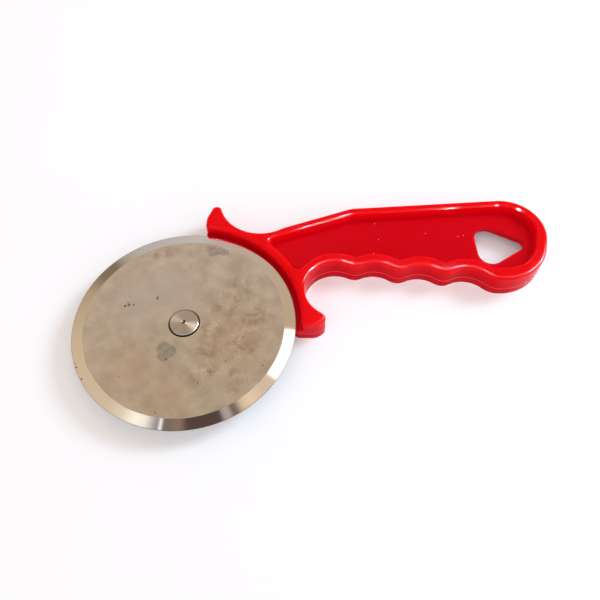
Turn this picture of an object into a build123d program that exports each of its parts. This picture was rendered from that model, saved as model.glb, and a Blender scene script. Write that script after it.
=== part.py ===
from build123d import *
import os

# Pizza cutter. A bevelled steel wheel turns on a riveted axle, held from one side by the arm of a
# one-piece moulded handle. It lies on its side, as it is put down on a table.
# All sizes are in millimetres and degrees. Plan positions are worked out from the wheel's axle, with X
# along the grip, and heights from the underside that the cutter lies on.

# Wheel
wheel_radius = 50.0
wheel_thickness = 2.0
bevel_width = 5.0
edge_land = 0.5

# Axle rivet and its washers
head_radius = 6.5
head_thickness = 1.2
head_crown = 0.3
head_bevel = 0.3
centre_mark_radius = 0.7
centre_mark_depth = 0.4
shoulder_radius = 3.5
shank_radius = 2.5
tail_radius = 4.2
tail_thickness = 1.1
tail_taper = 0.5
tail_setback = 0.5
spacer_radius = 9.0
spacer_thickness = 1.0
back_washer_radius = 6.0
back_washer_thickness = 0.8
running_clearance = 0.05
thrust_clearance = 0.05
counterbore_clearance = 0.4

# Handle section: a rim of full thickness round a thin web
handle_thickness = 13.0
web_thickness = 3.4
back_rim = 3.8
end_rim = 5.0
finger_rim = 4.6
heel_rim = 6.2
top_edge_radius = 1.5
recess_edge_bevel = 0.6
recess_draft_angle = 20.0
recess_corner_radius = 3.0

# Guard: an arc round the wheel, with a ledge under the wheel's rim
guard_gap = 2.5
guard_wall = 3.6
guard_ledge = 4.0
guard_corner_radius = 2.0
ledge_corner_radius = 4.0

# Notches in the outside of the guard for the index finger and the thumb
index_angle = 13.85
index_radius = 14.8
thumb_angle = 64.9
thumb_radius = 20.4
thumb_foot_angle = 290.3
notch_bite = 0.5

# Horn above the thumb, and tip below the index finger
horn_rise = 13.0
horn_width = 3.6
horn_front_setback = 3.0
horn_front_slope = 68.0
horn_front_radius = 10.5
horn_tip_radius = 2.1
tip_point_angle = 253.2
tip_point_stand = 1.3
tip_point_radius = 1.9
tip_end_setback = 3.9
tip_end_drop = 4.0
tip_end_radius = 7.2
tip_flank_angle = 226.0

# Grip: a straight back, a rounded end, and finger grooves in a line that drops towards the end
grip_length = 103.1
grip_depth = 47.7
underside_rise = 4.85
back_start = 8.5
back_slope = 4.05
back_corner_radius = 12.0
end_top_radius = 20.0
end_lean_angle = 14.0
end_flat = 5.3
index_pitch = 18.4
first_groove_rise = 1.0
groove_pitch = 21.5
groove_overlap = 2.75
groove_slope = -3.9
groove_crest_radius = 7.0
heel_crest_radius = 11.0
heel_crest_gap = 0.2
heel_land = 16.0

# Hang hole: a three-cornered opening that points to the end of the grip
hang_hole_setback = 24.9
hang_hole_rise = 23.2
hang_hole_radius = 17.8
hang_hole_angle = 2.8
hang_hole_point_radius = 3.5
hang_hole_corner_radius = 6.3
hang_hole_edge_bevel = 0.8
hang_hole_bevel_angle = 45.0

# Arm under the wheel
arm_angle = 39.0
hub_radius = 12.0
arm_root_half_width = 15.0
arm_root_radius = 8.0
arm_rim = 3.0
arm_plate = 3.0
arm_core_radius = 2.0


def towards(angle, distance):
    """Vector of a length in a direction in plan."""
    return Vector(distance, 0).rotate(Axis.Z, angle)


def crossing(point_a, angle_a, point_b, angle_b):
    """Point where two lines in plan meet, each given by a point and a direction."""
    along_a = towards(angle_a, 1)
    along_b = towards(angle_b, 1)
    distance = (point_b - point_a).cross(along_b).Z / along_a.cross(along_b).Z
    return point_a + along_a * distance


def direction(start, end):
    """Angle in plan of the line from one point to another."""
    return Vector(1, 0).get_signed_angle(end - start, Vector(0, 0, 1))


def corners_on(sketch, circles):
    """Corners of a sketch that lie on any of the circles, given as (centre, radius), along X."""
    return sketch.vertices().filter_by(
        lambda corner: any(
            abs((Vector(corner.X, corner.Y) - centre).length - radius) < 0.001 for centre, radius in circles
        )
    ).sort_by(Axis.X)


# Heights, from the underside upwards
recess_depth = (handle_thickness - web_thickness) / 2
arm_top = handle_thickness / 2
spacer_top = arm_top + spacer_thickness
wheel_bottom = spacer_top + thrust_clearance
wheel_top = wheel_bottom + wheel_thickness
head_bottom = wheel_top + thrust_clearance
head_top = head_bottom + head_thickness
tail_top = tail_setback + tail_thickness
counterbore_depth = tail_top + back_washer_thickness

# Circles about the axle, and the notches that stand a wall's thickness outside the guard
axle = Vector(0, 0)
guard_radius = wheel_radius + guard_gap
ledge_radius = guard_radius - guard_ledge
inside_guard = ledge_radius - ledge_corner_radius
outer_guard = guard_radius + guard_wall
index_centre = towards(index_angle, outer_guard + index_radius)
thumb_centre = towards(thumb_angle, outer_guard + thumb_radius)
guard_circle = (axle, guard_radius)
ledge_circle = (axle, ledge_radius)
index_notch = (index_centre, index_radius)
thumb_notch = (thumb_centre, thumb_radius)
arm_bore_radius = shank_radius + running_clearance
counterbore_radius = back_washer_radius + counterbore_clearance

# Grip, measured from the index finger's notch. The heel's rounding takes what the end's other
# rounding leaves of its height.
handle_reach = index_centre.X + grip_length
grip_underside = index_centre.Y + underside_rise
grip_rise = grip_underside + grip_depth
end_centre = Vector(handle_reach - end_top_radius, grip_rise - end_top_radius)
back_point = end_centre + towards(90 + back_slope, end_top_radius)
back_corner = crossing(back_point, back_slope, Vector(index_centre.X + back_start, 0), 90)
end_point = end_centre + towards(-end_lean_angle, end_top_radius)
heel = crossing(Vector(0, grip_underside), 0, end_point, 90 - end_lean_angle)
heel_tangent = (end_point - heel).length - end_flat
heel_start = heel - Vector(heel_tangent, 0)
heel_end = heel + towards(90 - end_lean_angle, heel_tangent)
heel_centre = crossing(heel_start, 90, heel_end, 180 - end_lean_angle)
heel_radius = (heel_centre - heel_start).length
thumb_foot = thumb_centre + towards(thumb_foot_angle, thumb_radius - notch_bite)
thumb_slope = direction(thumb_foot, back_corner)

# As many finger grooves as the grip has room for in front of its heel
groove_radius = groove_pitch / 2 + groove_overlap
first_groove = index_centre + Vector(index_pitch, first_groove_rise)
groove_count = int((heel_start.X - heel_land - first_groove.X) / groove_pitch) + 1
groove_centres = [first_groove + towards(groove_slope, groove_pitch * step) for step in range(groove_count)]
finger_grooves = [index_notch] + [(centre, groove_radius) for centre in groove_centres]

# Largest rounding from the last groove to the underside, leaving a gap before the heel's own rounding
heel_room = heel_start - Vector(heel_crest_gap, 0) - groove_centres[-1]
heel_crest_limit = (heel_room.length**2 - groove_radius**2) / (2 * (groove_radius - heel_room.Y))

# The cutter stands centred over the origin, so the axle lies off it by half the difference of its reaches.
axle_x = (wheel_radius - handle_reach) / 2
axle_y = (wheel_radius - grip_rise) / 2
axle_line = Axis((axle_x, axle_y, 0), (0, 0, 1))
axle_section = Plane(origin=(axle_x, axle_y, 0), x_dir=(1, 0, 0), z_dir=(0, -1, 0))


def level(height, turn=0):
    """Plane at a height, centred on the axle and turned about it."""
    return Plane(origin=(axle_x, axle_y, height)).rotated((0, 0, turn))


# Outline of the guard and the grip. Its inner corners lie within the circles that are cut from it.
horn_top = guard_radius + horn_rise
horn_back_x = thumb_centre.X - (thumb_radius**2 - (thumb_centre.Y - horn_top) ** 2) ** 0.5
horn_front = Vector(horn_back_x - horn_width, horn_top)
horn_front_x = horn_front.X - horn_front_setback
horn_knee = crossing(horn_front, horn_front_slope, Vector(horn_front_x, 0), 90)
tip_flank = index_centre + towards(tip_flank_angle, index_radius - notch_bite)
tip_point = index_centre + towards(tip_point_angle, index_radius + tip_point_stand)
tip_end = tip_point - Vector(tip_end_setback, tip_end_drop)
outline_corners = [
    ((inside_guard, tip_end.Y), 0),
    (tip_end, tip_end_radius),
    (tip_point, tip_point_radius),
    (tip_flank, 0),
    ((index_centre.X, grip_underside), 0),
    (heel, heel_radius),
    (crossing(end_point, 90 - end_lean_angle, back_point, back_slope), end_top_radius),
    (back_corner, back_corner_radius),
    (thumb_foot, 0),
    ((thumb_centre.X, horn_top), 0),
    (horn_front, horn_tip_radius),
    (horn_knee, horn_front_radius),
    ((horn_front_x, inside_guard), 0),
]
with BuildSketch() as outline:
    with BuildLine():
        FilletPolyline(
            [corner for corner, rounding in outline_corners],
            radius=[rounding for corner, rounding in outline_corners],
            close=True,
        )
    make_face()
    for centre, radius in finger_grooves + [thumb_notch]:
        with Locations(centre):
            Circle(radius, mode=Mode.SUBTRACT)
    crests = corners_on(outline, finger_grooves)[:-1] + corners_on(outline, [thumb_notch])[1:]
    fillet(crests, groove_crest_radius)
    fillet(corners_on(outline, finger_grooves)[-1], min(heel_crest_radius, heel_crest_limit))
    fillet(corners_on(outline, [thumb_notch])[0], horn_tip_radius)

# Plan of the recess on each face of the grip, which leaves the rim standing round the web
recess_underside = Vector(0, grip_underside + heel_rim)
recess_end = end_centre + towards(-end_lean_angle, end_top_radius - end_rim)
recess_back = back_point + towards(back_slope - 90, back_rim)
recess_thumb = back_corner + towards(thumb_slope - 90, back_rim)
recess_corners = [
    ((inside_guard, index_centre.Y), 0),
    ((index_centre.X, recess_underside.Y), 0),
    (crossing(recess_underside, 0, recess_end, 90 - end_lean_angle), heel_radius - heel_rim),
    (crossing(recess_end, 90 - end_lean_angle, recess_back, back_slope), end_top_radius - end_rim),
    (crossing(recess_back, back_slope, recess_thumb, thumb_slope), back_corner_radius - back_rim),
    (crossing(recess_thumb, thumb_slope, thumb_centre, 90), 0),
]
recess_limits = [(axle, outer_guard)] + [(centre, radius + finger_rim) for centre, radius in finger_grooves]
with BuildSketch() as recess_plan:
    with BuildLine():
        FilletPolyline(
            [corner for corner, rounding in recess_corners],
            radius=[rounding for corner, rounding in recess_corners],
            close=True,
        )
    make_face()
    for centre, radius in recess_limits:
        with Locations(centre):
            Circle(radius, mode=Mode.SUBTRACT)
    fillet(corners_on(recess_plan, recess_limits), recess_corner_radius)

# Plan of the hang hole
with BuildSketch() as hang_hole:
    with Locations((handle_reach - hang_hole_setback, grip_underside + hang_hole_rise)):
        RegularPolygon(hang_hole_radius, 3, rotation=hang_hole_angle)
    fillet(hang_hole.vertices().sort_by(Axis.X)[:-1], hang_hole_corner_radius)
    fillet(hang_hole.vertices().sort_by(Axis.X)[-1], hang_hole_point_radius)

# Plan of the arm, drawn along X: a round hub, and a bar that widens towards the guard
arm_end_radius = guard_radius + guard_wall / 2
with BuildSketch() as arm_plan:
    with BuildLine():
        Polyline(
            (0, -hub_radius),
            (outer_guard, -arm_root_half_width),
            (outer_guard, arm_root_half_width),
            (0, hub_radius),
            close=True,
        )
    make_face()
    Circle(hub_radius)
    Circle(arm_end_radius, mode=Mode.INTERSECT)

# Handle: the lower half carries the arm and the ledge, the upper half stands clear of the wheel
with BuildPart() as handle:
    with BuildSketch(level(0)) as lower_plan:
        add(outline.sketch)
        Circle(ledge_radius, mode=Mode.SUBTRACT)
        fillet(corners_on(lower_plan, [ledge_circle]), ledge_corner_radius)
        add(arm_plan.sketch, rotation=arm_angle)
        fillet(corners_on(lower_plan, [ledge_circle])[1:-1], arm_root_radius)
    extrude(amount=arm_top)
    with BuildSketch(level(arm_top)) as upper_plan:
        add(outline.sketch)
        Circle(guard_radius, mode=Mode.SUBTRACT)
        fillet(corners_on(upper_plan, [guard_circle]), guard_corner_radius)
    extrude(amount=handle_thickness - arm_top)
    fillet(handle.faces().sort_by(Axis.Z)[-1].edges(), top_edge_radius)

    # Recess in each face. On the face that shows, its walls slope and its mouth is eased.
    recess_cuts = [(handle_thickness, -recess_depth, recess_draft_angle), (0, recess_depth, 0)]
    for face_height, cut, draft in recess_cuts:
        with BuildSketch(level(face_height)):
            add(recess_plan.sketch)
        extrude(amount=cut, taper=draft, mode=Mode.SUBTRACT)
    chamfer(handle.faces().sort_by(Axis.Z)[-1].inner_wires()[0].edges(), recess_edge_bevel)

    # Hang hole through the web, with its upper edge eased
    with BuildSketch(level(0)):
        add(hang_hole.sketch)
    extrude(amount=handle_thickness, mode=Mode.SUBTRACT)
    with BuildSketch(level(handle_thickness - recess_depth)):
        add(hang_hole.sketch)
        offset(amount=hang_hole_edge_bevel)
    extrude(amount=-hang_hole_edge_bevel, taper=hang_hole_bevel_angle, mode=Mode.SUBTRACT)

    # Arm cored out from below to an even wall, up to the boss round the axle
    with BuildSketch(level(0, arm_angle)) as arm_core:
        add(arm_plan.sketch)
        offset(amount=-arm_rim)
        Circle(hub_radius, mode=Mode.SUBTRACT)
        core_limits = [(axle, hub_radius), (axle, arm_end_radius - arm_rim)]
        fillet(corners_on(arm_core, core_limits), arm_core_radius)
    extrude(amount=arm_top - arm_plate, mode=Mode.SUBTRACT)

    # Axle bore, with a counterbore below for the back washer and the rivet's tail
    with Locations(Plane(origin=(axle_x, axle_y, 0), z_dir=(0, 0, -1))):
        CounterBoreHole(arm_bore_radius, counterbore_radius, counterbore_depth, arm_top)

# Wheel: a flat disc with a ground bevel on both sides of its edge
with BuildPart() as cutting_wheel:
    with BuildSketch(axle_section):
        with BuildLine():
            Polyline(
                (shoulder_radius + running_clearance, wheel_bottom),
                (wheel_radius - bevel_width, wheel_bottom),
                (wheel_radius, wheel_bottom + (wheel_thickness - edge_land) / 2),
                (wheel_radius, wheel_top - (wheel_thickness - edge_land) / 2),
                (wheel_radius - bevel_width, wheel_top),
                (shoulder_radius + running_clearance, wheel_top),
                close=True,
            )
        make_face()
    revolve(axis=axle_line)

# Axle rivet: a low turned head with a centre mark, a shoulder that the wheel runs on, a thinner shank
# through the arm, and a tail peened over the back washer
with BuildPart() as axle_rivet:
    with BuildSketch(axle_section):
        with BuildLine():
            Polyline(
                (0, tail_setback),
                (tail_radius - tail_taper, tail_setback),
                (tail_radius, tail_top),
                (shank_radius, tail_top),
                (shank_radius, spacer_top),
                (shoulder_radius, spacer_top),
                (shoulder_radius, head_bottom),
                (head_radius, head_bottom),
                (head_radius, head_top - head_crown - head_bevel),
                (head_radius - head_bevel, head_top - head_crown),
                (centre_mark_radius, head_top),
                (0, head_top - centre_mark_depth),
                close=True,
            )
        make_face()
    revolve(axis=axle_line)

# Washers: the spacer that the wheel bears on, and the washer under the rivet's tail
with BuildPart() as spacer_washer:
    with BuildSketch(level(arm_top)):
        Circle(spacer_radius)
        Circle(arm_bore_radius, mode=Mode.SUBTRACT)
    extrude(amount=spacer_thickness)

with BuildPart() as back_washer:
    with BuildSketch(level(tail_top)):
        Circle(back_washer_radius)
        Circle(arm_bore_radius, mode=Mode.SUBTRACT)
    extrude(amount=back_washer_thickness)

os.makedirs("parts", exist_ok=True)
pieces = {
    "handle": handle,
    "cutting_wheel": cutting_wheel,
    "axle_rivet": axle_rivet,
    "spacer_washer": spacer_washer,
    "back_washer": back_washer,
}
for name, piece in pieces.items():
    piece.part.label = name
    export_step(piece.part, f"parts/{name}.step")
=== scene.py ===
import math

import bmesh
import bpy
from mathutils import Matrix, Vector


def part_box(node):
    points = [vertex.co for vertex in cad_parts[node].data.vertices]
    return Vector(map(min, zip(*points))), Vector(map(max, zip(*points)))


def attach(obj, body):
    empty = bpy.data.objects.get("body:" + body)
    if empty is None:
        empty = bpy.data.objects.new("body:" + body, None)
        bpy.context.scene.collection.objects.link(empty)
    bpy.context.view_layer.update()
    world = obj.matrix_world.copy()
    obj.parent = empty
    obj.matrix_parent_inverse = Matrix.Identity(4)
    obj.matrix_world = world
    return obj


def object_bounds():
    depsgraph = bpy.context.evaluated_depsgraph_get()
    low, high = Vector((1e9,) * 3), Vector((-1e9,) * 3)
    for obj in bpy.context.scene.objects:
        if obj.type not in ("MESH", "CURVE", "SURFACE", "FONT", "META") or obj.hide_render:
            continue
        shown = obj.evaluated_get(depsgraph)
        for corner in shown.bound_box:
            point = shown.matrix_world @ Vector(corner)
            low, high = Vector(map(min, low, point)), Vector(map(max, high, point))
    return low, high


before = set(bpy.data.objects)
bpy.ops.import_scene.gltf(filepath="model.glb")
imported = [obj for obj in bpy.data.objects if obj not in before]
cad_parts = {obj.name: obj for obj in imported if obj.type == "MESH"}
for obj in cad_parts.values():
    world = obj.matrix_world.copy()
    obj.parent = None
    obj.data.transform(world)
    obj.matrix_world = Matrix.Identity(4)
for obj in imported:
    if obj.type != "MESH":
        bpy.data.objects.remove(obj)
cad_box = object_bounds()

# Handle: one injection moulding, with a rim of full thickness round a thin web, finger grooves below, a hang
# hole near its end, and a guard and an arm that hold the wheel.
# It is red polystyrene from a polished mould, made in one shot and only trimmed afterwards.
MM = 0.001
wheel_low, wheel_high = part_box("cutting_wheel")
axle = (wheel_low + wheel_high) / 2
sink_size = 16 * MM
sink_depth = 0.15 * MM
scuff_size = 2.5 * MM
web_shade_start = 12 * MM
web_shade_end = 8.4 * MM
eased_edge = 0.3 * MM
mouth_start = 12.2 * MM
mouth_end = 12.4 * MM
glow_depth = 5 * MM
glow_by_colour = (1.0, 0.02, 0.02)
mirror_level = 0.06
dust_softness = 0.6
dust_specks = [
    (89.1, 58.0, 0.35), (90.4, 48.0, 0.3), (113.9, 51.8, 0.3),
    (129.7, 49.9, 0.35), (132.5, 50.5, 0.3), (87.5, 39.6, 0.25),
]


def srgb(code, gain=1.0):
    """Linear colour of an sRGB hex value."""
    parts = [int(code[i:i + 2], 16) / 255 for i in (1, 3, 5)]
    return [gain * (p / 12.92 if p <= 0.04045 else ((p + 0.055) / 1.055) ** 2.4) for p in parts] + [1.0]


def add(tree, kind, inputs=None, **settings):
    """Adds a node with its settings, gives each input a value or a link, and returns its outputs."""
    made = tree.nodes.new("ShaderNode" + kind)
    for name, value in settings.items():
        setattr(made, name, value)
    for socket, value in (inputs or {}).items():
        if isinstance(value, bpy.types.NodeSocket):
            tree.links.new(value, made.inputs[socket])
        else:
            made.inputs[socket].default_value = value
    return made.outputs


def new_finish(name):
    """Empty node material and its tree."""
    finish = bpy.data.materials.new(name)
    finish.use_nodes = True
    finish.node_tree.nodes.clear()
    return finish, finish.node_tree


def dress(piece, finish):
    """Gives a piece its one finish."""
    piece.data.materials.clear()
    piece.data.materials.append(finish)


def plan_of(tree):
    """Place in plan, measured from the axle."""
    place = add(tree, "TexCoord")["Object"]
    from_axle = add(tree, "VectorMath", {0: place, 1: axle}, operation="SUBTRACT")["Vector"]
    parts = add(tree, "SeparateXYZ", {0: from_axle})
    return add(tree, "CombineXYZ", {"X": parts["X"], "Y": parts["Y"]})["Vector"]


def patches(tree, plan, where, softness):
    """Mask of round patches, given as (x, y, radius) in millimetres from the axle.

    The softness is the share of the radius over which a patch fades out.
    """
    covered = 0.0
    for x, y, size in where:
        away = add(tree, "VectorMath", {0: plan, 1: (x * MM, y * MM, 0)}, operation="DISTANCE")["Value"]
        mark = add(tree, "MapRange", {
            "Value": away, "From Min": size * MM, "From Max": size * (1 - softness) * MM,
        }, interpolation_type="SMOOTHSTEP")["Result"]
        covered = add(tree, "Math", {0: covered, 1: mark}, operation="MAXIMUM")["Value"]
    return covered


# Gloss-moulded polystyrene: an even red that lets some light through, with painted shade that darkens the
# thin web in the recess. Its shine wavers where the rim has sunk in cooling, and is a little duller in the
# scuffs. A painted highlight pales the recess's mouth edge, and a few specks of dust lie on the web. The
# mirror level is far below the usual one of a plastic, because this red shows almost no white veil.
polystyrene, tree = new_finish("red_polystyrene_gloss_moulded")
place = add(tree, "TexCoord")["Object"]
height = add(tree, "SeparateXYZ", {0: place})["Z"]
sink = add(tree, "TexNoise", {"Vector": place, "Scale": 1 / sink_size, "Detail": 2.0})["Fac"]
scuff = add(tree, "TexNoise", {
    "Vector": place, "Scale": 1 / scuff_size, "Detail": 6.0, "Roughness": 0.6,
})["Fac"]
# Painted shade: below the rim the web is painted a darker red
web_shade = add(tree, "MapRange", {
    "Value": height, "From Min": web_shade_start, "From Max": web_shade_end,
})["Result"]
dust = patches(tree, plan_of(tree), dust_specks, dust_softness)
# Painted highlight: a pale band along the recess's sharp mouth edge, where the eased normal leaves the true
# one
eased = add(tree, "Bevel", {"Radius": eased_edge}, samples=16)["Normal"]
facing = add(tree, "NewGeometry")["Normal"]
sharp = add(tree, "VectorMath", {0: eased, 1: facing}, operation="DOT_PRODUCT")["Value"]
sharp = add(tree, "MapRange", {
    "Value": sharp, "From Min": 0.985, "From Max": 0.94, "To Max": 0.45,
})["Result"]
mouth = add(tree, "MapRange", {"Value": height, "From Min": mouth_start, "From Max": mouth_end})["Result"]
mouth_highlight = add(tree, "Math", {0: sharp, 1: mouth}, operation="MULTIPLY")["Value"]
red = add(tree, "Mix", {"Factor": sink, "A": srgb("#E2040E"), "B": srgb("#E80713")}, data_type="RGBA")[2]
# Painted shade on the web, pale dust specks, and a painted highlight on the mouth edge
for mask, colour in ((web_shade, "#D20016"), (dust, "#FFB4B0"), (mouth_highlight, "#FF8C90")):
    red = add(tree, "Mix", {"Factor": mask, "A": red, "B": srgb(colour)}, data_type="RGBA")[2]
shine = add(tree, "MapRange", {
    "Value": scuff, "From Min": 0.4, "From Max": 0.75, "To Min": 0.09, "To Max": 0.12,
})["Result"]
skin = add(tree, "Bump", {"Strength": 0.2, "Distance": sink_depth, "Height": sink})["Normal"]
surface = add(tree, "BsdfPrincipled", {
    "Base Color": red, "Roughness": shine, "Normal": skin, "IOR": 1.5, "Specular IOR Level": mirror_level,
    "Subsurface Weight": 1.0, "Subsurface Radius": glow_by_colour, "Subsurface Scale": glow_depth,
})["BSDF"]
add(tree, "OutputMaterial", {"Surface": surface})
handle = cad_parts["handle"]
dress(handle, polystyrene)

# Parting line: the thin ridge that the joint between the mould's two halves leaves round the handle's side.
# It is the handle's own plastic, pale and matt where the flash was scraped off.
seam_height = 4.2 * MM
seam_radius = 0.14 * MM
scrape_size = 2 * MM
same_point = 0.001 * MM


def put(name, data):
    """Object of that name in the scene."""
    made = bpy.data.objects.new(name, data)
    bpy.context.collection.objects.link(made)
    return made


# Of the loops in a level cut through the handle, the ridge follows the one that reaches furthest along the
# grip. They are traced in a fixed order, so that the ridge comes out the same each time.
shell = bmesh.new()
shell.from_mesh(handle.data)
bmesh.ops.remove_doubles(shell, verts=shell.verts[:], dist=same_point)
cut = bmesh.ops.bisect_plane(
    shell, geom=shell.verts[:] + shell.edges[:] + shell.faces[:],
    plane_co=(0, 0, seam_height), plane_no=(0, 0, 1),
)["geom_cut"]
untraced = {part: None for part in cut if isinstance(part, bmesh.types.BMEdge)}
loops = []
while untraced:
    edge = untraced.popitem()[0]
    loop = [edge.verts[0], edge.verts[1]]
    while True:
        onward = [link for link in loop[-1].link_edges if link in untraced]
        if not onward:
            break
        del untraced[onward[0]]
        loop.append(onward[0].other_vert(loop[-1]))
    loops.append([vert.co.copy() for vert in loop[:-1]])
outline = max(loops, key=lambda points: max(point.x for point in points))
shell.free()
ridge = bpy.data.curves.new("parting_line", "CURVE")
ridge.dimensions = "3D"
ridge.bevel_depth = seam_radius
ridge.bevel_resolution = 1
spline = ridge.splines.new("POLY")
spline.points.add(len(outline) - 1)
spline.use_cyclic_u = True
for control, point in zip(spline.points, outline):
    control.co = (*point, 1)
drawn = bpy.data.objects.new("drawn", ridge)
seam_mesh = bpy.data.meshes.new_from_object(drawn)
bpy.data.objects.remove(drawn)

# Where the handle reaches furthest, the ridge is worn flush
for vert in seam_mesh.vertices:
    vert.co = [min(max(value, least), most) for value, least, most in zip(vert.co, *cad_box)]
seam = put("parting_line", seam_mesh)

# Scraped polystyrene: the knife leaves the same red paler and matt, with a fine uneven drag along it
scraped, tree = new_finish("red_polystyrene_scraped_flash")
place = add(tree, "TexCoord")["Object"]
drag = add(tree, "TexNoise", {"Vector": place, "Scale": 1 / scrape_size, "Detail": 3.0})["Fac"]
pale = add(tree, "Mix", {"Factor": drag, "A": srgb("#E22A34"), "B": srgb("#EE6068")}, data_type="RGBA")[2]
surface = add(tree, "BsdfPrincipled", {"Base Color": pale, "Roughness": 0.5, "IOR": 1.5})["BSDF"]
add(tree, "OutputMaterial", {"Surface": surface})
dress(seam, scraped)
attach(seam, "handle")

# Washers: two stamped steel rings, one under the peened tail of the rivet and one between the arm and the
# wheel. They are zinc plated, which gives a dull grey with a fine mottle.
spangle_size = 0.8 * MM
zinc, tree = new_finish("zinc_plated_steel_stamped")
place = add(tree, "TexCoord")["Object"]
mottle = add(tree, "TexVoronoi", {"Vector": place, "Scale": 1 / spangle_size})["Distance"]
plate = add(tree, "Mix", {"Factor": mottle, "A": srgb("#B9BABB"), "B": srgb("#9A9B9E")}, data_type="RGBA")[2]
dull = add(tree, "MapRange", {"Value": mottle, "To Min": 0.32, "To Max": 0.5})["Result"]
surface = add(tree, "BsdfPrincipled", {"Base Color": plate, "Metallic": 1.0, "Roughness": dull})["BSDF"]
add(tree, "OutputMaterial", {"Surface": surface})
for washer in ("back_washer", "spacer_washer"):
    dress(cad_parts[washer], zinc)

# Cutting wheel: a disc stamped from stainless steel sheet, turning on the rivet's shoulder.
# Its faces keep the satin of the rolled sheet, and its edge is ground to a bevel on both sides and polished.
bevel_start = 45 * MM
bevel_blend = 0.1 * MM
grinding_size = 12 * MM
grinding_waver = 0.2 * MM
edge_shade_start = 49.75 * MM
edge_shade_end = 49.9 * MM
head_shadow_start = 7.2 * MM
head_shadow_end = 7.05 * MM
tatter_size = 3 * MM
slight_pull = 1.2 * MM
strong_pull = 6 * MM
cloud_size = 9 * MM
wisp_size = 6 * MM
flake_size = 5 * MM
crease_size = 4 * MM
fleck_size = 2.2 * MM

# Stains on the face: films that have dried, smears of handling, browner and greyer areas, and pits
film_softness = 0.18
film_spots = [
    (-7.6, -12.6, 3.7), (-5.2, -14.4, 3.4), (-7.4, -16.0, 2.8),
    (9.8, 39.8, 3.3), (12.8, 39.9, 2.6), (16.4, 39.2, 1.7),
]
smear_softness = 0.8
smear_spots = [
    (23, 17, 12), (18, 7, 11), (13, -4, 9), (12, -13, 10), (10.5, -24, 10),
    (31, 2.5, 12), (26, -11, 12), (24.5, -28, 9), (-11, 39, 3), (-17, 37, 3),
]
area_softness = 1.0
brown_areas = [(-20, -22, 20), (-3, -34, 18), (24, -8, 26)]
grey_areas = [(-22, 12, 22), (-8, 18, 20)]
pit_softness = 0.5
pit_spots = [
    (-27.8, 9.0, 0.9), (-26.2, 9.6, 0.9), (-24.1, 9.8, 0.6), (-29.3, 7.6, 0.4), (-26.8, 10.8, 0.5),
    (-26.3, 14.1, 0.35), (-13.6, 13.1, 0.75), (-13.6, 14.0, 0.5), (0.4, 31, 0.4), (6, 20.5, 0.3),
    (-25.4, -26.1, 0.4), (-7.7, -42.3, 0.5), (19.9, -18.8, 0.45), (8.5, -28.9, 0.5), (35.8, -20.9, 0.5),
    (-44.6, -21.4, 0.7), (-45.2, -19.6, 0.4), (-41.2, -27, 0.6), (-6.2, -17.9, 0.5),
]

# The bevel's inner border wavers a little from the grinding, and painted shade makes the blunt edge greyer
stainless, tree = new_finish("stainless_steel_rolled_with_polished_bevel")
plan = plan_of(tree)
radius = add(tree, "VectorMath", {0: plan}, operation="LENGTH")["Value"]
waver = add(tree, "TexNoise", {"Vector": plan, "Scale": 1 / grinding_size, "Detail": 2.0})["Fac"]
waver = add(tree, "MapRange", {
    "Value": waver, "From Min": 0.3, "From Max": 0.7, "To Min": -grinding_waver, "To Max": grinding_waver,
})["Result"]
ground = add(tree, "Math", {0: radius, 1: waver}, operation="ADD")["Value"]
polished = add(tree, "MapRange", {
    "Value": ground, "From Min": bevel_start - bevel_blend, "From Max": bevel_start + bevel_blend,
})["Result"]
# Painted shade: the blunt rim is painted greyer, standing for the shaded floor that it mirrors
edge_shade = add(tree, "MapRange", {
    "Value": radius, "From Min": edge_shade_start, "From Max": edge_shade_end, "To Max": 0.75,
})["Result"]
# Painted shadow: a thin dark ring round the rivet's head, where the head shades the wheel
head_shadow = add(tree, "MapRange", {"Value": radius, "From Min": head_shadow_start, "From Max": head_shadow_end})["Result"]

# Stains have ragged borders: each is a round patch on a plan that noise has pulled about
tatter = add(tree, "TexNoise", {
    "Vector": plan, "Scale": 1 / tatter_size, "Detail": 4.0, "Roughness": 0.65,
})["Color"]
pull = add(tree, "VectorMath", {0: tatter, 1: (0.5, 0.5, 0.5)}, operation="SUBTRACT")["Vector"]
slight = add(tree, "VectorMath", {0: pull, "Scale": slight_pull}, operation="SCALE")["Vector"]
slight = add(tree, "VectorMath", {0: plan, 1: slight}, operation="ADD")["Vector"]
strong = add(tree, "VectorMath", {0: pull, "Scale": strong_pull}, operation="SCALE")["Vector"]
strong = add(tree, "VectorMath", {0: plan, 1: strong}, operation="ADD")["Vector"]
film = patches(tree, strong, film_spots, film_softness)
smear = patches(tree, strong, smear_spots, smear_softness)
browner = patches(tree, strong, brown_areas, area_softness)
greyer = patches(tree, strong, grey_areas, area_softness)
pit = patches(tree, slight, pit_spots, pit_softness)

# Clouds in the satin, dark wisps and flakes in the smears with pale creases between, and flecks in the films
cloud = add(tree, "TexNoise", {
    "Vector": plan, "Scale": 1 / cloud_size, "Detail": 6.0, "Roughness": 0.55,
})["Fac"]
wisp = add(tree, "TexNoise", {
    "Vector": slight, "Scale": 1 / wisp_size, "Detail": 5.0, "Roughness": 0.6, "Distortion": 0.6,
})["Fac"]
dark = add(tree, "MapRange", {
    "Value": wisp, "From Min": 0.46, "From Max": 0.62,
}, interpolation_type="SMOOTHSTEP")["Result"]
flake = add(tree, "TexVoronoi", {"Vector": strong, "Scale": 1 / flake_size})["Color"]
flake = add(tree, "SeparateXYZ", {0: flake})["X"]
dark = add(tree, "Mix", {"Factor": 0.35, "A": dark, "B": flake})[0]
worked = add(tree, "Math", {0: smear, 1: dark}, operation="MULTIPLY")["Value"]
crease = add(tree, "TexVoronoi", {
    "Vector": strong, "Scale": 1 / crease_size,
}, feature="DISTANCE_TO_EDGE")["Distance"]
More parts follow.
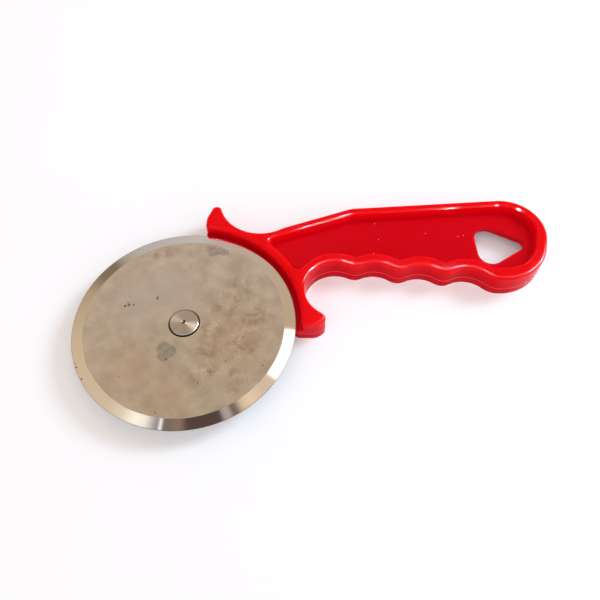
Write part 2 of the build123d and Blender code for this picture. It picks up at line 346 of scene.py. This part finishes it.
crease = add(tree, "MapRange", {"Value": crease, "From Min": 0.05, "From Max": 0.0})["Result"]
broken = add(tree, "MapRange", {"Value": cloud, "From Min": 0.45, "From Max": 0.65})["Result"]
crease = add(tree, "Math", {0: crease, 1: broken}, operation="MULTIPLY")["Value"]
crease = add(tree, "Math", {0: crease, 1: smear}, operation="MULTIPLY")["Value"]
fleck = add(tree, "TexNoise", {"Vector": plan, "Scale": 1 / fleck_size, "Detail": 3.0})["Fac"]
fleck = add(tree, "MapRange", {
    "Value": fleck, "From Min": 0.3, "From Max": 0.65, "To Min": 1.0, "To Max": 0.55,
})["Result"]
film = add(tree, "Math", {0: film, 1: fleck}, operation="MULTIPLY")["Value"]

# Rolled stainless steel: a warm grey satin with clouds in it, browner or greyer where it has been handled and
# duller under films. The polished bevel is brighter and mirrors the room, dirt sits in the pits, and a
# painted shadow darkens a thin ring round the rivet's head.
mottled = add(tree, "MapRange", {"Value": cloud, "From Min": 0.35, "From Max": 0.65})["Result"]
steel = add(tree, "Mix", {"Factor": mottled, "A": srgb("#AFA79C"), "B": srgb("#C6BEB3")}, data_type="RGBA")[2]
for mask, strength, colour in (
    (browner, 0.38, "#B9A089"),
    (greyer, 0.75, "#B9B5B1"),
    (worked, 0.85, "#968571"),
    (crease, 0.6, "#E9DFD2"),
    (film, 0.9, "#8F8B88"),
    (polished, 1.0, "#DBD7D2"),
    (edge_shade, 1.0, "#868179"),
):
    cover = add(tree, "Math", {0: mask, 1: strength}, operation="MULTIPLY")["Value"]
    steel = add(tree, "Mix", {"Factor": cover, "A": steel, "B": srgb(colour)}, data_type="RGBA")[2]
# Dirt in the pits, and the painted shadow round the rivet's head
pit_dirt_and_head_shadow = add(tree, "Math", {0: pit, 1: 0.7}, operation="MULTIPLY")["Value"]
pit_dirt_and_head_shadow = add(tree, "Math", {0: pit_dirt_and_head_shadow, 1: head_shadow}, operation="MAXIMUM")["Value"]
steel = add(tree, "Mix", {"Factor": pit_dirt_and_head_shadow, "A": steel, "B": srgb("#3E362F")}, data_type="RGBA")[2]
satin = add(tree, "MapRange", {
    "Value": cloud, "From Min": 0.3, "From Max": 0.7, "To Min": 0.13, "To Max": 0.16,
})["Result"]
gloss = add(tree, "Mix", {"Factor": polished, "A": satin, "B": 0.045})[0]
surface = add(tree, "BsdfPrincipled", {"Base Color": steel, "Metallic": 1.0, "Roughness": gloss})["BSDF"]
add(tree, "OutputMaterial", {"Surface": surface})
dress(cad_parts["cutting_wheel"], stainless)

# Axle rivet: turned from steel bar, with a low head, a centre mark from the lathe, and a peened tail.
# It holds the wheel to the arm and stays still while the wheel turns on its shoulder.
# The tool's real feed is about 0.1 mm a turn, drawn here at 0.5 mm so that the rings show.
feed = 0.5 * MM
ring_depth = 0.02 * MM
ringed_start = 6 * MM
ringed_end = 5.5 * MM
mark_start = 1.1 * MM
mark_end = 0.8 * MM

# Turned steel: the rings on the face stretch each light into a bow tie. Dirt darkens the centre mark, and
# painted shade darkens the head's side.
turned, tree = new_finish("steel_bar_turned")
radius = add(tree, "VectorMath", {0: plan_of(tree)}, operation="LENGTH")["Value"]
ring = add(tree, "Math", {0: radius, 1: 2 * math.pi / feed}, operation="MULTIPLY")["Value"]
ring = add(tree, "Math", {0: ring}, operation="SINE")["Value"]
ringed = add(tree, "MapRange", {"Value": radius, "From Min": ringed_start, "From Max": ringed_end})["Result"]
ring = add(tree, "Math", {0: ring, 1: ringed}, operation="MULTIPLY")["Value"]
groove = add(tree, "Bump", {"Strength": 0.15, "Distance": ring_depth, "Height": ring})["Normal"]
mark = add(tree, "MapRange", {"Value": radius, "From Min": mark_start, "From Max": mark_end})["Result"]
# Painted shade: the head's upright side is painted dark; the centre mark holds real dirt
upright = add(tree, "SeparateXYZ", {0: add(tree, "NewGeometry")["Normal"]})["Z"]
side_shade = add(tree, "MapRange", {"Value": upright, "From Min": 0.5, "From Max": 0.25})["Result"]
mark_dirt_and_side_shade = add(tree, "Math", {0: mark, 1: side_shade}, operation="MAXIMUM")["Value"]
metal = add(tree, "Mix", {"Factor": mark_dirt_and_side_shade, "A": srgb("#A79E94"), "B": srgb("#2A221D")}, data_type="RGBA")[2]
dull = add(tree, "Mix", {"Factor": mark_dirt_and_side_shade, "A": 0.2, "B": 0.6})[0]
grain = add(tree, "Tangent", direction_type="RADIAL", axis="Z")["Tangent"]
surface = add(tree, "BsdfPrincipled", {
    "Base Color": metal, "Metallic": 1.0, "Roughness": dull, "Normal": groove,
    "Anisotropic": 0.75, "Anisotropic Rotation": 0.25, "Tangent": grain,
})["BSDF"]
add(tree, "OutputMaterial", {"Surface": surface})
dress(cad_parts["axle_rivet"], turned)

# Floor: a wide sheet of matt white paper, with a faint unevenness in its white.
# To the camera and in reflections it is lifted a little, so that it shows white and keeps the soft shadow.
floor_half = 3.0
floor_lift = 0.12
fibre_size = 60 * MM
sheet = bpy.data.meshes.new("floor")
sheet.from_pydata([
    (-floor_half, -floor_half, 0), (floor_half, -floor_half, 0),
    (floor_half, floor_half, 0), (-floor_half, floor_half, 0),
], [], [(0, 1, 2, 3)])
floor = put("floor", sheet)
paper, tree = new_finish("white_paper")
path = add(tree, "LightPath")
shown = add(tree, "Math", {0: path["Is Camera Ray"], 1: path["Is Glossy Ray"]}, operation="MAXIMUM")["Value"]
shown = add(tree, "Math", {0: shown, 1: path["Is Transmission Ray"]}, operation="MAXIMUM")["Value"]
lift = add(tree, "Math", {0: shown, 1: floor_lift}, operation="MULTIPLY")["Value"]
place = add(tree, "TexCoord")["Object"]
fibre = add(tree, "TexNoise", {"Vector": place, "Scale": 1 / fibre_size})["Fac"]
white = add(tree, "Mix", {"Factor": fibre, "A": srgb("#F2F1F1"), "B": srgb("#F5F5F6")}, data_type="RGBA")[2]
matt = add(tree, "BsdfDiffuse", {"Color": white})["BSDF"]
glow = add(tree, "Emission", {"Color": srgb("#FFFFFF"), "Strength": lift})["Emission"]
both = add(tree, "AddShader", {0: matt, 1: glow})["Shader"]
add(tree, "OutputMaterial", {"Surface": both})
dress(floor, paper)

# Studio: a pale room, painted by direction. The wheel's flat face mirrors a patch of its cream ceiling at the
# camera's angle, and the bevel mirrors a ring of the room round that patch.
room_level = 0.97
mirrored = Vector((-0.181, 0.481, 0.858)).normalized()
along = (Vector((1, 0, 0)) - mirrored * mirrored.x).normalized()
across = mirrored.cross(along)

# The ring, as degrees round it, a colour and how bright it is
ring_stops = [
    # Cream wall, brighter towards a lit doorway
    (-180, "#EDD3B4", 1), (-134, "#F5DEBF", 1), (-124, "#FFF0D8", 1.06), (-116, "#FFF8EA", 1.45),
    (-110, "#FFF8EC", 1.35),
    # Grey door frame with a slit of daylight
    (-105, "#C6C0BC", 1), (-102.4, "#A09A9B", 1), (-101.9, "#FFFFFF", 1.6), (-100.4, "#FFFFFF", 1.6),
    (-99.9, "#867A76", 1),
    # Dark beam with a paler gap in it
    (-91, "#A68878", 1), (-87, "#66524A", 1), (-69, "#625048", 1), (-67, "#CDBDB6", 1), (-63.6, "#CFC0BA", 1),
    (-62.4, "#8A786E", 1), (-59.6, "#8E7A6C", 1),
    # Cream wall in the sun
    (-56, "#F5DEBE", 1), (-51, "#FFE2C4", 1.15), (-40, "#F4DDC4", 1), (-33, "#FAE2C8", 1),
    # Skylight
    (-32, "#FFFFFF", 2), (-1, "#FFFFFF", 2),
    # Tan wall that turns grey
    (0, "#DCC0A0", 1), (78, "#DEC8BC", 1), (86, "#E2DDD8", 1), (118, "#D5CEC8", 1),
    # Brown corner, and back to the cream wall
    (126, "#C6BAAB", 1), (132, "#96826C", 1), (140, "#9C866E", 1), (150, "#CDB593", 1), (180, "#EDD3B4", 1),
]
room = bpy.data.worlds.new("studio")
bpy.context.scene.world = room
room.use_nodes = True
tree = room.node_tree
tree.nodes.clear()
gaze = add(tree, "TexCoord")["Generated"]
ring_x = add(tree, "VectorMath", {0: gaze, 1: along}, operation="DOT_PRODUCT")["Value"]
ring_y = add(tree, "VectorMath", {0: gaze, 1: across}, operation="DOT_PRODUCT")["Value"]
angle = add(tree, "Math", {0: ring_y, 1: ring_x}, operation="ARCTAN2")["Value"]
turn = add(tree, "MapRange", {"Value": angle, "From Min": -math.pi, "From Max": math.pi})["Result"]
ring_colour = add(tree, "ValToRGB", {"Fac": turn})["Color"]
stops = ring_colour.node.color_ramp.elements
stops.remove(stops[-1])
for degrees, colour, gain in ring_stops:
    stop = stops.new((degrees + 180) / 360) if degrees > -180 else stops[0]
    stop.color = srgb(colour, gain)
aside = add(tree, "CombineXYZ", {"X": ring_x, "Y": ring_y})["Vector"]
reach = add(tree, "VectorMath", {0: aside}, operation="LENGTH")["Value"]
towards = add(tree, "SeparateXYZ", {0: gaze})
back = add(tree, "MapRange", {"Value": ring_y, "From Min": -0.14, "From Max": 0.14})["Result"]
seen = add(tree, "Mix", {"Factor": back, "A": srgb("#F1DEC6"), "B": srgb("#FCE8D8")}, data_type="RGBA")[2]

# From the ceiling's patch outwards come the ring, a dimmer ceiling, the walls, a brown left side and a bright
# front. Each fades in between two values of a direction's measure.
for measure, start, end, colour in (
    (reach, 0.24, 0.34, ring_colour),
    (reach, 0.52, 0.7, srgb("#B0A596")),
    (towards["Z"], 0.5, 0.3, srgb("#E8DDCE")),
    (towards["X"], -0.62, -0.95, srgb("#9C8468")),
    (towards["Y"], 0.05, -0.6, srgb("#F4F2FA", 1.25)),
):
    share = add(tree, "MapRange", {
        "Value": measure, "From Min": start, "From Max": end,
    }, interpolation_type="SMOOTHSTEP")["Result"]
    seen = add(tree, "Mix", {"Factor": share, "A": seen, "B": colour}, data_type="RGBA")[2]
light = add(tree, "Background", {"Color": seen, "Strength": room_level})["Background"]
add(tree, "OutputWorld", {"Surface": light})


def window(name, start, end, width, radiance, colour):
    """Strip of window between two points, facing the cutter, as bright as given."""
    start, end = Vector(start), Vector(end)
    middle = (start + end) / 2
    run = (end - start).normalized()
    facing = (middle - run * middle.dot(run)).normalized()
    lamp = bpy.data.lights.new(name, "AREA")
    lamp.shape = "RECTANGLE"
    lamp.size = width
    lamp.size_y = (end - start).length
    lamp.energy = radiance * math.pi * lamp.size * lamp.size_y
    lamp.color = srgb(colour)[:3]
    made = put(name, lamp)
    turned_to = Matrix((run.cross(facing), run, facing)).transposed().to_4x4()
    made.matrix_world = Matrix.Translation(middle) @ turned_to
    return made


window_width = 0.5
window_radiance = 17
window("window_light", (1.24, 0.59, 0.65), (0.98, 0.46, 1.06), window_width, window_radiance, "#CFE8FF")

# Three narrow panes draw the white lines on the plastic's edges. They are very bright, because the plastic's
# mirror level is low, so they give no diffuse light and shine on the handle alone, and the right one on the
# rivet too.
pane_width = 0.09
for name, start, end, radiance, shone_on in (
    ("pane_above", (-0.13, -0.3, 0.95), (-0.31, -0.3, 0.89), 1200, ("handle",)),
    ("pane_beside", (0.36, -0.3, 0.91), (0.52, -0.3, 0.83), 300, ("handle",)),
    ("pane_right", (0.83, 0.37, 0.52), (0.5, -0.08, 0.89), 900, ("handle", "axle_rivet")),
):
    pane = window(name, start, end, pane_width, radiance, "#FAFAFF")
    pane.visible_diffuse = False
    lit = bpy.data.collections.new(name)
    for node_name in shone_on:
        lit.objects.link(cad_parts[node_name])
    pane.light_linking.receiver_collection = lit

# Camera: at the photograph's angle, looking down on the cutter from the near side.
# Its place is measured from the axle.
camera_aside = 51.9 * MM
camera_back = 137.6 * MM
camera_up = 242.7 * MM
camera_tilt = math.radians(31.8)
lens = bpy.data.cameras.new("camera")
lens.lens = 37.2
lens.sensor_width = 36.0
camera = put("camera", lens)
camera.location = (axle.x + camera_aside, axle.y - camera_back, axle.z + camera_up)
camera.rotation_euler = (camera_tilt, 0, 0)
bpy.context.scene.camera = camera
bpy.context.scene.view_settings.view_transform = "Standard"
